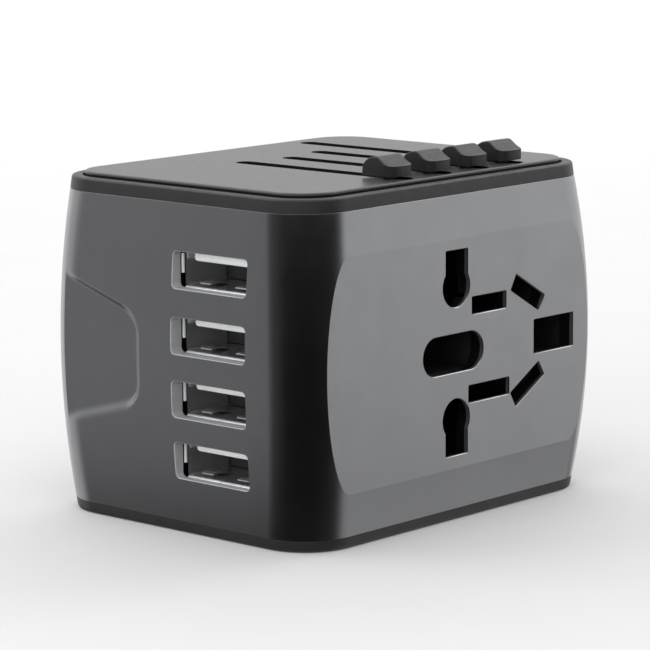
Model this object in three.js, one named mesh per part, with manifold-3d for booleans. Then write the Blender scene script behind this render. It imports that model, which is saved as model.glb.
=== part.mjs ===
// Universal travel adapter: a barrel-sided block with a multi-standard socket in front, four USB ports on the left,
// four slider knobs on top, and four sets of plug pins that slide out of the rear.
// Millimetres. +Z up, origin at the bottom centre. The socket faces -Y, the USB ports face -X, the pins leave along +Y.
import * as THREE from "three";
import { mergeVertices } from "three/addons/utils/BufferGeometryUtils.js";
import Module from "manifold-3d";

const wasm = await Module();
wasm.setup();

// ---- Driving dimensions -------------------------------------------------------------------------------------------

// Outer body
const WIDTH = 63.4; // X, at the trim bands
const DEPTH = 50.6; // Y, at the trim bands
const HEIGHT = 48.8; // to the top of the upper band
const TOP_BAND = 1.95;
const BOTTOM_BAND = 1.67;
const CORNER_RADIUS = 8;
const SIDE_BULGE = 1.6; // how far the barrel sides swell beyond the bands
const REAR_BULGE = 0.95;
const FACE_Y = 26.05; // the flat socket face is at -FACE_Y, the flat pin face at +FACE_Y
const BARREL_STEPS = 14;
const CORNER_SEGMENTS = 7;
const MID_Z = HEIGHT / 2; // height of the socket and pin patterns
const SLEEVE_BOTTOM = BOTTOM_BAND;
const SLEEVE_TOP = HEIGHT - TOP_BAND;
const BAND_LEAN = 0.27; // the bands lean in and carry on the barrel's curve
const TOP_EDGE = 0.3;
const BOTTOM_EDGE = 0.5;

// Inner space
const CAVITY_X = 29.6;
const CAVITY_Y = 23.4;
const CAVITY_RADIUS = 4;

// Top plate and its slots
const PLATE_INSET = 2.15; // from the band's outer edge to the plate
const PLATE_GROOVE = 0.35;
const PLATE_TOP = 49.4;
const PLATE_BOTTOM = 47.75;
const PLATE_CHAMFER = 0.35;
const PLATE_LEDGE = 1.6; // how much of the bezel carries the plate
const SLOT_WIDTH = 2.8;
const SLOT_FRONT = -22.4;

// Knobs
const KNOB_WIDTH = 5.2;
const KNOB_REAR = -15.6;
const KNOB_FRONT = -21.2;
const KNOB_BOTTOM = 49.75;
const KNOB_SHOULDER = 50.8; // top of the upright rear face
const KNOB_CREST = 52.5;
const KNOB_CREST_Y = -18.1;
const KNOB_LIP = 51.2; // top of the upright front face
const KNOB_CORNER = 1.2; // radius of the upright edges beside the front face
const NECK_Y = -18.75;
const NECK_LENGTH = 1;
const NECK_WIDTH = 2;

// Carriages
const TRAVEL = 23.9;
const ARM_FRONT = -20.6;
const ARM_BOTTOM = 42.6;
const ARM_TOP = 45.4;
const ARM_WIDTH = 5.6;
const BAR_FRONT = -5.5;
const BAR_REAR = -2;
const FIT = 0.05; // gap between pieces that are seated on each other

// Socket in the front face: x, and height above the middle of the face
const LIVE_X = -1.41;
const LIVE_WIDTH = 4.78;
const LIVE_END = 14.74;
const ROUND_X = -1.5;
const ROUND_Z = 9.5; // two round pins 19 mm apart
const ROUND_RADIUS = 2.94;
const EARTH_X = 20.79;
const EARTH_WIDTH = 9.2;
const EARTH_HEIGHT = 5;
const FLAT_X = 5.84;
const FLAT_Z = 6.35; // two flat blades 12.7 mm apart
const FLAT_HEIGHT = 2.52;
const FLAT_UPPER_WIDTH = 7.66;
const FLAT_LOWER_WIDTH = 9.14;
const SLANT_X = 14.7;
const SLANT_Z = 6.73;
const SLANT_LENGTH = 7.55;
const SLANT_HEIGHT = 2.55;
const SLANT_ANGLE = 30;
const CENTRE_HOLE = { left: -8.74, right: 4.49, height: 5.56 };
const MOUTH_CHAMFER = 0.3;

// USB ports in the left side
const PORT_Y = -7.8;
const PORT_HEIGHTS = [37.6, 28.4, 19.4, 10.6];
const PORT_WIDTH = 14.1;
const PORT_HEIGHT = 5.2;
const PORT_RADIUS = 0.6;
const PORT_POCKET_X = -31.1; // where the plastic cut-out opens into the shell's pocket
const SHELL_FRONT = -30.95;
const SHELL_BACK = -19;
const SHELL_WIDTH = 12.5; // inside
const SHELL_HEIGHT = 4.8; // inside
const SHELL_SHEET = 0.35;
const POCKET_MARGIN = { y: 0.35, z: 0.8 }; // round the cut-out
const TONGUE_FRONT = -29.9;
const TONGUE_WIDTH = 11.2;
const TONGUE_LOW = 1;
const TONGUE_HIGH = 2.25;
const TONGUE_BASE = { front: -22.5, halfWidth: 6.1, halfHeight: 2.3 };

// Finger grips in both sides
const GRIP_DEPTH = 0.6;
const GRIP_SLOPE = 1.7; // wall width for each millimetre of depth
const GRIP_CORNER = 2.6;
const GRIP_FRONT_Y = 5.6;
const GRIP_REAR_Y = 30;
const GRIP_FRONT_TOP = 30.9;
const GRIP_FRONT_BOTTOM = 17.2;
const GRIP_TOP_RISE = 0.31; // how the top edge climbs towards the rear
const GRIP_BOTTOM_FALL = 0.27;

// Rear cover, screws and their ribs
const COVER_X = 25;
const COVER_Z = 19;
const COVER_FLANGE = 1.3;
const COVER_RADIUS = 2;
const SEAT_GAP = 0.15;
const COVER_FLANGE_FRONT = 22.2;
const SCREW_X = 22.4;
const SCREW_Z = 15.8;
const SCREW_HEAD_RADIUS = 1.9;
const SCREW_SHANK_RADIUS = 1.1;
const SCREW_TIP = 14;
const SCREW_HEAD_FRONT = 24.35;
const SCREW_HEAD_REAR = 25.7;
const CROSS = { length: 2.4, width: 0.55, depth: 0.7 };
const RIB_FRONT = 12;
const RIB_HALF = 2.2; // half of a rib's height
const RIB_INNER = 1.85; // from a screw's axis to its rib's inner face

// Plug pins: place across the rear face, size, and how far they stand out when they are pushed out
const PINS = {
  au: { x: -12.6, z: 6.86, width: 6.5, height: 1.6, out: 17, slant: 30 },
  eu: { x: 1.5, z: 9.5, radius: 2.4, out: 19 },
  us: { x: 9.4, z: 6.35, width: 6.35, height: 1.5, out: 17 },
  uk: { x: -4.6, z: 11.1, width: 4, height: 6.35, out: 17.7 },
  ukEarth: { x: 17.6, z: 0, width: 8, height: 4, out: 22.7 },
};
const PIN_CLEARANCE = 0.4;
const PIN_TAPER = 1.6;
const ROUND_TIP = 0.55; // size of the tip against the shank
const FLAT_TIP = 0.72;
const SLIDERS = [
  { name: "au", x: -7.1, slotRear: 10.6 },
  { name: "eu", x: 1.4, slotRear: 9.2 },
  { name: "us", x: 9.65, slotRear: 11 },
  { name: "uk", x: 17.6, slotRear: 20.4 },
];

// Socket carrier and contacts behind the socket face
const CARRIER_X = [-12, 26.8];
const CARRIER_HALF_HEIGHT = 17;
const CARRIER_FRONT = -23.1;
const CARRIER_REAR = -9;
const LEAF_FRONT = -15;
const LEAF_SHEET = 0.6;
const CONTACT_BACK = [-9.8, -9.2];
const BUSBAR_Y = [-9.1, 20.5];
const BUSBAR_SHEET = 0.7;

// Circuit board, fuse and what is on them
const BOARD_X = [-18.7, -17.3];
const BOARD_Y = [-22, 20.5];
const BOARD_Z = [5, 42];
const FUSE = { x: 26, y: 0, halfLength: 10, radius: 2.2, capRadius: 2.6, capLength: 5 };

// ---- Materials ----------------------------------------------------------------------------------------------------

const finish = (color, roughness, metalness) => ({ color, roughness, metalness });
const GRAPHITE = finish(0x55565a, 0.45, 0.35);
const BLACK_TRIM = finish(0x17181a, 0.5, 0);
const DARK_PLATE = finish(0x3a3b3e, 0.5, 0);
const KNOB_BLACK = finish(0x202124, 0.4, 0);
const NYLON = finish(0x2b2c2f, 0.6, 0);
const STEEL = finish(0xc9cbce, 0.28, 1);
const NICKEL = finish(0xb9b7ae, 0.25, 1);
const BRASS = finish(0xb58d3f, 0.35, 1);
const WHITE_PLASTIC = finish(0xf1f1ee, 0.5, 0);
const BOARD_GREEN = finish(0x1d5a3a, 0.55, 0);
const FERRITE = finish(0x2c2b2d, 0.7, 0);
const CAN_METAL = finish(0x4d5664, 0.35, 0.6);
const CERAMIC = finish(0xe6e2d8, 0.4, 0);

// ---- Geometry helpers ---------------------------------------------------------------------------------------------

// A closed three.js geometry as a manifold-3d solid.
function solid(geometry) {
  const bare = geometry.clone();
  bare.deleteAttribute("normal");
  bare.deleteAttribute("uv");
  const merged = mergeVertices(bare, 1e-4);
  return new wasm.Manifold(
    new wasm.Mesh({
      numProp: 3,
      vertProperties: new Float32Array(merged.attributes.position.array),
      triVerts: new Uint32Array(merged.index.array),
    }),
  );
}

function geometryOf(shape) {
  const { numProp, vertProperties, triVerts } = shape.getMesh();
  const position = new Float32Array((vertProperties.length / numProp) * 3);
  for (let i = 0; i < position.length / 3; i += 1) {
    position.set(vertProperties.subarray(i * numProp, i * numProp + 3), i * 3);
  }
  const geometry = new THREE.BufferGeometry();
  geometry.setAttribute("position", new THREE.BufferAttribute(position, 3));
  geometry.setIndex(new THREE.BufferAttribute(new Uint32Array(triVerts), 1));
  geometry.computeVertexNormals();
  return geometry;
}

const root = new THREE.Group();

function piece(name, shape, surface) {
  const mesh = new THREE.Mesh(geometryOf(shape), new THREE.MeshStandardMaterial(surface));
  mesh.name = name;
  root.add(mesh);
}

const union = (shapes) => shapes.reduce((sum, next) => sum.add(next));
const without = (shape, cutters) => cutters.reduce((rest, next) => rest.subtract(next), shape);

function box(x, y, z) {
  const geometry = new THREE.BoxGeometry(x[1] - x[0], y[1] - y[0], z[1] - z[0]);
  geometry.translate((x[0] + x[1]) / 2, (y[0] + y[1]) / 2, (z[0] + z[1]) / 2);
  return solid(geometry);
}

// Flat outlines
function rectangle(cx, cy, width, height, degrees = 0) {
  const turn = THREE.MathUtils.degToRad(degrees);
  const corners = [
    [-1, -1],
    [1, -1],
    [1, 1],
    [-1, 1],
  ];
  const points = corners.map(([i, j]) => {
    const corner = new THREE.Vector2((i * width) / 2, (j * height) / 2);
    return corner.rotateAround(new THREE.Vector2(), turn).add(new THREE.Vector2(cx, cy));
  });
  return new THREE.Shape(points);
}

function roundedRectangle(cx, cy, width, height, radius) {
  const [left, right] = [cx - width / 2, cx + width / 2];
  const [low, high] = [cy - height / 2, cy + height / 2];
  const shape = new THREE.Shape();
  shape.moveTo(left + radius, low);
  shape.lineTo(right - radius, low);
  shape.absarc(right - radius, low + radius, radius, -Math.PI / 2, 0);
  shape.lineTo(right, high - radius);
  shape.absarc(right - radius, high - radius, radius, 0, Math.PI / 2);
  shape.lineTo(left + radius, high);
  shape.absarc(left + radius, high - radius, radius, Math.PI / 2, Math.PI);
  shape.lineTo(left, low + radius);
  shape.absarc(left + radius, low + radius, radius, Math.PI, 1.5 * Math.PI);
  return shape;
}

function disc(cx, cy, radius) {
  return new THREE.Shape().absarc(cx, cy, radius, 0, 2 * Math.PI);
}

// Straight prisms. An outline for prismX is drawn in (y, z), one for prismY in (x, z), one for prismZ in (x, y).
function extrude(shape, length, options = {}) {
  const settings = { depth: length, bevelEnabled: false, curveSegments: CORNER_SEGMENTS, ...options };
  return new THREE.ExtrudeGeometry(shape, settings);
}

const TO_X = new THREE.Matrix4().makeBasis(
  new THREE.Vector3(0, 1, 0),
  new THREE.Vector3(0, 0, 1),
  new THREE.Vector3(1, 0, 0),
);

function prismX(shape, x0, x1) {
  return solid(extrude(shape, x1 - x0).applyMatrix4(TO_X).translate(x0, 0, 0));
}

function prismY(shape, y0, y1) {
  return solid(extrude(shape, y1 - y0).rotateX(Math.PI / 2).translate(0, y1, 0));
}

function prismZ(shape, z0, z1) {
  return solid(extrude(shape, z1 - z0).translate(0, 0, z0));
}

// A cutter for a hole with a chamfered mouth in the plane y = mouth, running inwards along +Y to y = end.
function chamferedHole(shape, mouth, end) {
  const flare = extrude(shape, 1, {
    bevelEnabled: true,
    bevelThickness: MOUTH_CHAMFER,
    bevelSize: MOUTH_CHAMFER,
    bevelSegments: 1,
  });
  return prismY(shape, mouth - 1, end).add(solid(flare.rotateX(Math.PI / 2).translate(0, mouth, 0)));
}

// How far the sleeve stands out from the bands at a height, as a share of its full bulge.
function swell(z) {
  const half = (SLEEVE_TOP - SLEEVE_BOTTOM) / 2;
  const t = (z - SLEEVE_BOTTOM - half) / half;
  return Math.max(0, 1 - t * t);
}

// The barrel: a rounded rectangle whose four sides move out with the height, while its corner radius stays.
function barrel(width, depth, radius) {
  const outline = roundedRectangle(0, 0, width, depth, radius);
  const geometry = extrude(outline, SLEEVE_TOP - SLEEVE_BOTTOM, { steps: BARREL_STEPS });
  geometry.translate(0, 0, SLEEVE_BOTTOM);
  const position = geometry.attributes.position;
  for (let i = 0; i < position.count; i += 1) {
    const share = swell(position.getZ(i));
    const x = position.getX(i);
    const y = position.getY(i);
    position.setX(i, x + Math.sign(x) * SIDE_BULGE * share);
    position.setY(i, y + Math.sign(y) * (y < 0 ? SIDE_BULGE : REAR_BULGE) * share);
  }
  return solid(geometry);
}

// ---- Body sleeve --------------------------------------------------------------------------------------------------

// Every opening of the socket, each a flat outline in (x, z).
function socketOutlines(grow = 0) {
  const wider = 2 * grow;
  const outlines = [rectangle(EARTH_X, MID_Z, EARTH_WIDTH + wider, EARTH_HEIGHT + wider)];
  for (const side of [1, -1]) {
    const liveMiddle = (ROUND_Z + LIVE_END) / 2;
    const liveHeight = LIVE_END - ROUND_Z;
    const flatWidth = side > 0 ? FLAT_UPPER_WIDTH : FLAT_LOWER_WIDTH;
    outlines.push(
      rectangle(LIVE_X, MID_Z + side * liveMiddle, LIVE_WIDTH + wider, liveHeight + wider),
      disc(ROUND_X, MID_Z + side * ROUND_Z, ROUND_RADIUS + grow),
      rectangle(FLAT_X, MID_Z + side * FLAT_Z, flatWidth + wider, FLAT_HEIGHT + wider),
      rectangle(
        SLANT_X,
        MID_Z + side * SLANT_Z,
        SLANT_LENGTH + wider,
        SLANT_HEIGHT + wider,
        -side * SLANT_ANGLE,
      ),
    );
  }
  const width = CENTRE_HOLE.right - CENTRE_HOLE.left;
  const middle = (CENTRE_HOLE.left + CENTRE_HOLE.right) / 2;
  const height = CENTRE_HOLE.height;
  outlines.push(
    roundedRectangle(middle, MID_Z, width + wider, height + wider, height / 2 + grow - 0.01),
  );
  return outlines;
}

// One finger grip on the left side: a shallow pocket with sloped walls that runs out over the rear corner.
function gripCutter() {
  const reach = GRIP_REAR_Y - GRIP_FRONT_Y;
  const top = (y) => GRIP_FRONT_TOP + GRIP_TOP_RISE * (y - GRIP_FRONT_Y);
  const bottom = (y) => GRIP_FRONT_BOTTOM - GRIP_BOTTOM_FALL * (y - GRIP_FRONT_Y);
  const cornerY = GRIP_FRONT_Y + GRIP_CORNER;
  const outline = new THREE.Shape();
  outline.moveTo(GRIP_FRONT_Y, GRIP_FRONT_BOTTOM + GRIP_CORNER);
  outline.quadraticCurveTo(GRIP_FRONT_Y, GRIP_FRONT_BOTTOM, cornerY, bottom(cornerY));
  outline.lineTo(GRIP_REAR_Y, bottom(GRIP_REAR_Y));
  outline.lineTo(GRIP_REAR_Y, top(GRIP_REAR_Y));
  outline.lineTo(cornerY, top(cornerY));
  outline.quadraticCurveTo(GRIP_FRONT_Y, GRIP_FRONT_TOP, GRIP_FRONT_Y, GRIP_FRONT_TOP - GRIP_CORNER);
  const outside = -1.5;
  const inside = 1.5;
  const geometry = extrude(outline, inside - outside).translate(0, 0, outside).applyMatrix4(TO_X);
  // The walls lean in with the depth under the sleeve's surface, which lies further out in the middle.
  const position = geometry.attributes.position;
  for (let i = 0; i < position.count; i += 1) {
    const depth = position.getX(i);
    const y = position.getY(i);
    const z = position.getZ(i);
    const middle = (top(y) + bottom(y)) / 2;
    const half = (top(y) - bottom(y)) / 2;
    const inset = depth * GRIP_SLOPE;
    position.setX(i, depth - WIDTH / 2 - SIDE_BULGE * swell(z));
    position.setY(i, y + inset * (1 - (y - GRIP_FRONT_Y) / reach));
    position.setZ(i, z + inset * ((middle - z) / half));
  }
  const floor = barrel(WIDTH - 2 * GRIP_DEPTH, DEPTH + 30, 1);
  return solid(geometry).subtract(floor);
}

function screwPlaces() {
  const places = [];
  for (const x of [-SCREW_X, SCREW_X]) {
    for (const side of [1, -1]) {
      places.push({ x, z: MID_Z + side * SCREW_Z });
    }
  }
  return places;
}

function bodySleeve() {
  const cavity = prismZ(
    roundedRectangle(0, 0, 2 * CAVITY_X, 2 * CAVITY_Y, CAVITY_RADIUS),
    SLEEVE_BOTTOM - 1,
    SLEEVE_TOP + 1,
  );
  let sleeve = barrel(WIDTH, DEPTH, CORNER_RADIUS).subtract(cavity);
  // Ribs on the side walls take the cover screws.
  for (const { x, z } of screwPlaces()) {
    const side = Math.sign(x);
    const inner = x - side * RIB_INNER;
    const outer = side * (CAVITY_X + 1);
    const span = [Math.min(inner, outer), Math.max(inner, outer)];
    sleeve = sleeve.add(box(span, [RIB_FRONT, COVER_FLANGE_FRONT - 0.3], [z - RIB_HALF, z + RIB_HALF]));
  }
  const cutters = [
    box([-40, 40], [-40, -FACE_Y], [-1, 60]),
    box([-40, 40], [FACE_Y, 40], [-1, 60]),
    gripCutter(),
    gripCutter().mirror([1, 0, 0]),
    prismY(
      roundedRectangle(
        0,
        MID_Z,
        2 * (COVER_X + SEAT_GAP),
        2 * (COVER_Z + SEAT_GAP),
        COVER_RADIUS + SEAT_GAP,
      ),
      CAVITY_Y - 1,
      FACE_Y + 1,
    ),
  ];
  for (const outline of socketOutlines()) {
    cutters.push(chamferedHole(outline, -FACE_Y, -CAVITY_Y + 1));
  }
  for (const z of PORT_HEIGHTS) {
    cutters.push(
      prismX(roundedRectangle(PORT_Y, z, PORT_WIDTH, PORT_HEIGHT, PORT_RADIUS), -40, -CAVITY_X + 1),
      box(
        [PORT_POCKET_X, -CAVITY_X + 1],
        [PORT_Y - PORT_WIDTH / 2 - POCKET_MARGIN.y, PORT_Y + PORT_WIDTH / 2 + POCKET_MARGIN.y],
        [z - PORT_HEIGHT / 2 - POCKET_MARGIN.z, z + PORT_HEIGHT / 2 + POCKET_MARGIN.z],
      ),
    );
  }
  for (const { x, z } of screwPlaces()) {
    cutters.push(prismY(disc(x, z, SCREW_SHANK_RADIUS + SEAT_GAP), SCREW_TIP - 0.8, CAVITY_Y));
  }
  piece("body_sleeve", without(sleeve, cutters), GRAPHITE);
}

// ---- Bands, plate and cover ---------------------------------------------------------------------------------------

function outerOutline(inset, radius = CORNER_RADIUS - inset) {
  return roundedRectangle(0, 0, WIDTH - 2 * inset, DEPTH - 2 * inset, radius);
}

// A band whose four sides lean in: each row is a height and how far the sides stand in from the outer outline there.
function leaningBand(rows) {
  const steps = rows.length - 1;
  const geometry = extrude(outerOutline(0), steps, { steps });
  const position = geometry.attributes.position;
  for (let i = 0; i < position.count; i += 1) {
    const [z, lean] = rows[Math.round(position.getZ(i))];
    const x = position.getX(i);
    const y = position.getY(i);
    position.setXYZ(i, x - Math.sign(x) * lean, y - Math.sign(y) * lean, z);
  }
  return solid(geometry);
}

function topBezel() {
  const ring = leaningBand([
    [SLEEVE_TOP, 0],
    [HEIGHT - TOP_EDGE, BAND_LEAN],
    [HEIGHT, BAND_LEAN + TOP_EDGE],
  ]);
  const rim = prismZ(
    roundedRectangle(0, 0, 2 * CAVITY_X - 0.3, 2 * CAVITY_Y - 0.3, CAVITY_RADIUS - SEAT_GAP),
    SLEEVE_TOP - 1,
    SLEEVE_TOP + 0.5,
  );
  const seat = prismZ(
    outerOutline(PLATE_INSET - PLATE_GROOVE),
    PLATE_BOTTOM - FIT,
    HEIGHT + 1,
  );
  const window = prismZ(outerOutline(PLATE_INSET + PLATE_LEDGE), SLEEVE_TOP - 2, HEIGHT);
  piece("top_bezel", ring.add(rim).subtract(seat).subtract(window), BLACK_TRIM);
}

function topPlate() {
  const straight = prismZ(outerOutline(PLATE_INSET), PLATE_BOTTOM, PLATE_TOP - PLATE_CHAMFER);
  const edge = extrude(outerOutline(PLATE_INSET), 0.5, {
    bevelEnabled: true,
    bevelThickness: PLATE_CHAMFER,
    bevelSize: PLATE_CHAMFER,
    bevelOffset: -PLATE_CHAMFER,
    bevelSegments: 1,
  });
  const crown = solid(edge.translate(0, 0, PLATE_TOP - PLATE_CHAMFER - 0.5));
  const slots = SLIDERS.map(({ x, slotRear }) => {
    const length = slotRear - SLOT_FRONT;
    const middle = (slotRear + SLOT_FRONT) / 2;
    const end = SLOT_WIDTH / 2 - 0.01;
    const outline = roundedRectangle(x, middle, SLOT_WIDTH, length, end);
    return prismZ(outline, PLATE_BOTTOM - 1, PLATE_TOP + 1);
  });
  piece("top_plate", without(straight.add(crown), slots), DARK_PLATE);
}

function bottomCap() {
  const plate = leaningBand([
    [0, BAND_LEAN + BOTTOM_EDGE],
    [BOTTOM_EDGE, BAND_LEAN],
    [BOTTOM_BAND, 0],
  ]);
  const rimOutline = (inset) =>
    roundedRectangle(0, 0, 2 * (CAVITY_X - inset), 2 * (CAVITY_Y - inset), CAVITY_RADIUS - inset);
  const rim = prismZ(rimOutline(SEAT_GAP), 1, 3.8).subtract(prismZ(rimOutline(1.4), BOTTOM_BAND, 5));
  piece("bottom_cap", plate.add(rim), BLACK_TRIM);
}

// A pin's cross-section in (x, z), grown on every side.
function pinOutline(pin, side, grow = 0) {
  if (pin.radius) {
    return disc(pin.x, MID_Z + side * pin.z, pin.radius + grow);
  }
  const degrees = -side * (pin.slant ?? 0);
  return rectangle(
    pin.x,
    MID_Z + side * pin.z,
    pin.width + 2 * grow,
    pin.height + 2 * grow,
    degrees,
  );
}

function allPins() {
  const pins = [];
  for (const key of ["au", "eu", "us", "uk"]) {
    pins.push({ pin: PINS[key], side: 1 }, { pin: PINS[key], side: -1 });
  }
  pins.push({ pin: PINS.ukEarth, side: 1 });
  return pins;
}

function rearCover() {
  const face = roundedRectangle(0, MID_Z, 2 * COVER_X, 2 * COVER_Z, COVER_RADIUS);
  const flange = roundedRectangle(
    0,
    MID_Z,
    2 * (COVER_X + COVER_FLANGE),
    2 * (COVER_Z + COVER_FLANGE - 0.1),
    COVER_RADIUS + 1,
  );
  const cover = prismY(face, COVER_FLANGE_FRONT, FACE_Y).add(
    prismY(flange, COVER_FLANGE_FRONT, CAVITY_Y - SEAT_GAP),
  );
  const cutters = allPins().map(({ pin, side }) =>
    prismY(pinOutline(pin, side, PIN_CLEARANCE), COVER_FLANGE_FRONT - 1, FACE_Y + 1),
  );
  for (const { x, z } of screwPlaces()) {
    cutters.push(
      prismY(disc(x, z, SCREW_SHANK_RADIUS + 0.2), COVER_FLANGE_FRONT - 1, FACE_Y + 1),
      prismY(disc(x, z, SCREW_HEAD_RADIUS + 0.25), SCREW_HEAD_FRONT - FIT, FACE_Y + 1),
    );
  }
  piece("rear_cover", without(cover, cutters), BLACK_TRIM);
}

function coverScrews() {
  screwPlaces().forEach(({ x, z }, i) => {
    const screw = union([
      prismY(disc(x, z, SCREW_HEAD_RADIUS), SCREW_HEAD_FRONT, SCREW_HEAD_REAR),
      prismY(disc(x, z, SCREW_SHANK_RADIUS), SCREW_TIP, SCREW_HEAD_FRONT + 0.1),
    ]);
    const floor = SCREW_HEAD_REAR - CROSS.depth;
    const cross = [
      prismY(rectangle(x, z, CROSS.length, CROSS.width), floor, SCREW_HEAD_REAR + 1),
      prismY(rectangle(x, z, CROSS.width, CROSS.length), floor, SCREW_HEAD_REAR + 1),
    ];
    piece(`cover_screw_${i + 1}`, without(screw, cross), STEEL);
  });
}

// ---- Socket interior ----------------------------------------------------------------------------------------------

function socketCarrier() {
  const height = [MID_Z - CARRIER_HALF_HEIGHT, MID_Z + CARRIER_HALF_HEIGHT];
  const block = box(CARRIER_X, [CARRIER_FRONT, CARRIER_REAR], height);
  // One room for each pole's contact, one for the centre hole and one for the earth contact
  const rooms = [
    { x: [-6.2, 18.6], z: [4.2, 15.6] },
    { x: [-6.2, 18.6], z: [-15.6, -4.2] },
    { x: [-9.6, 5.3], z: [-3.1, 3.1] },
    { x: [15.4, 25.7], z: [-3.3, 3.3] },
  ].map(({ x, z }) => box(x, [CARRIER_FRONT - 1, CARRIER_REAR + 1], [MID_Z + z[0], MID_Z + z[1]]));
  const holes = socketOutlines(0.3).map((outline) => prismY(outline, CARRIER_FRONT - 1, CARRIER_REAR + 1));
  piece("socket_carrier", without(block, [...rooms, ...holes]), NYLON);
}

// The brass clip of one pole: leaves beside each kind of pin, joined by a plate behind them.
function poleContact(name, side) {
  const leafY = [LEAF_FRONT, CONTACT_BACK[1]];
  const back = side > 0 ? [MID_Z + 4.5, MID_Z + 14.4] : [MID_Z - 14.4, MID_Z - 4.5];
  const parts = [box([-5, 17.4], CONTACT_BACK, back)];
  const liveZ = [MID_Z + side * 14.2, MID_Z + side * 7].sort((a, b) => a - b);
  for (const hand of [-1, 1]) {
    const leaf = LIVE_X + hand * (LIVE_WIDTH / 2 + 0.9);
    parts.push(box([leaf - LEAF_SHEET / 2, leaf + LEAF_SHEET / 2], leafY, liveZ));
    const flat = MID_Z + side * FLAT_Z + hand * (FLAT_HEIGHT / 2 + 0.35);
    parts.push(box([2.9, 8.9], leafY, [flat - LEAF_SHEET / 2, flat + LEAF_SHEET / 2]));
  }
  const away = new THREE.Vector2(0, side * (SLANT_HEIGHT / 2 + 0.6));
  away.rotateAround(new THREE.Vector2(), THREE.MathUtils.degToRad(-side * SLANT_ANGLE));
  const slant = rectangle(
    SLANT_X + away.x,
    MID_Z + side * SLANT_Z + away.y,
    5,
    LEAF_SHEET,
    -side * SLANT_ANGLE,
  );
  parts.push(prismY(slant, leafY[0], leafY[1]));
  piece(name, union(parts), BRASS);
}

function earthContact() {
  const leafY = [LEAF_FRONT, CONTACT_BACK[1]];
  const reach = EARTH_HEIGHT / 2 + 0.45;
  const parts = [box([16.6, 25], CONTACT_BACK, [MID_Z - reach, MID_Z + reach])];
  for (const hand of [-1, 1]) {
    const leaf = MID_Z + hand * (reach - LEAF_SHEET / 2);
    for (const x of [18, 23.2]) {
      parts.push(box([x - 1.2, x + 1.2], leafY, [leaf - LEAF_SHEET / 2, leaf + LEAF_SHEET / 2]));
    }
  }
  piece("earth_contact", union(parts), BRASS);
}

function busbars() {
  const poleX = [4.85, 4.85 + BUSBAR_SHEET];
  const earthX = [22.3, 22.3 + BUSBAR_SHEET];
  piece("line_busbar", box(poleX, BUSBAR_Y, [MID_Z + 5, MID_Z + 13]), BRASS);
  piece("neutral_busbar", box(poleX, BUSBAR_Y, [MID_Z - 13, MID_Z - 5]), BRASS);
  const foot = box([earthX[0] - 0.5, earthX[0] + 0.1], [BUSBAR_Y[0], BUSBAR_Y[0] + 1.1], [MID_Z - 3, MID_Z + 3]);
  piece("earth_busbar", box(earthX, BUSBAR_Y, [MID_Z - 3, MID_Z + 3]).add(foot), BRASS);
}

// ---- USB ports ----------------------------------------------------------------------------------------------------

function usbShell(number, z) {
  const half = { y: SHELL_WIDTH / 2 + SHELL_SHEET, z: SHELL_HEIGHT / 2 + SHELL_SHEET };
  const inner = { y: SHELL_WIDTH / 2, z: SHELL_HEIGHT / 2 };
  const lip = { y: PORT_WIDTH / 2 - 0.05, z: PORT_HEIGHT / 2 + 0.5 };
  const around = (size, x) => box(x, [PORT_Y - size.y, PORT_Y + size.y], [z - size.z, z + size.z]);
  const tube = around(half, [SHELL_FRONT, SHELL_BACK]).add(around(lip, [SHELL_FRONT, SHELL_FRONT + 0.35]));
  piece(`usb_shell_${number}`, tube.subtract(around(inner, [SHELL_FRONT - 1, SHELL_BACK - 0.5])), STEEL);
}

function usbTongue(number, z) {
  const blade = box(
    [TONGUE_FRONT, SHELL_BACK - 0.6],
    [PORT_Y - TONGUE_WIDTH / 2, PORT_Y + TONGUE_WIDTH / 2],
    [z + TONGUE_LOW, z + TONGUE_HIGH],
  );
  const base = box(
    [TONGUE_BASE.front, SHELL_BACK - 0.6],
    [PORT_Y - TONGUE_BASE.halfWidth, PORT_Y + TONGUE_BASE.halfWidth],
    [z - TONGUE_BASE.halfHeight, z + TONGUE_BASE.halfHeight],
  );
  piece(`usb_tongue_${number}`, blade.add(base), WHITE_PLASTIC);
}

// ---- Electronics --------------------------------------------------------------------------------------------------

function electronics() {
  piece("circuit_board", box(BOARD_X, BOARD_Y, BOARD_Z), BOARD_GREEN);
  const face = BOARD_X[0] - FIT;
  const core = box([-28, face], [2.5, 13], [18, 30]);
  const windows = [box([-26, -21], [1, 5], [20, 28]), box([-26, -21], [10.5, 15], [20, 28])];
  piece("transformer", without(core, windows), FERRITE);
  const upright = (y, z, radius, length) => prismX(disc(y, z, radius), face - length, face);
  piece("capacitor_large", upright(8, 36, 4, 9.5), CAN_METAL);
  piece("capacitor_small", upright(17.5, 33.5, 3, 8), CAN_METAL);
  piece("inductor", upright(8, 11.5, 4, 6.5).subtract(upright(8, 11.5, 1.6, 5)), FERRITE);
}

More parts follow.
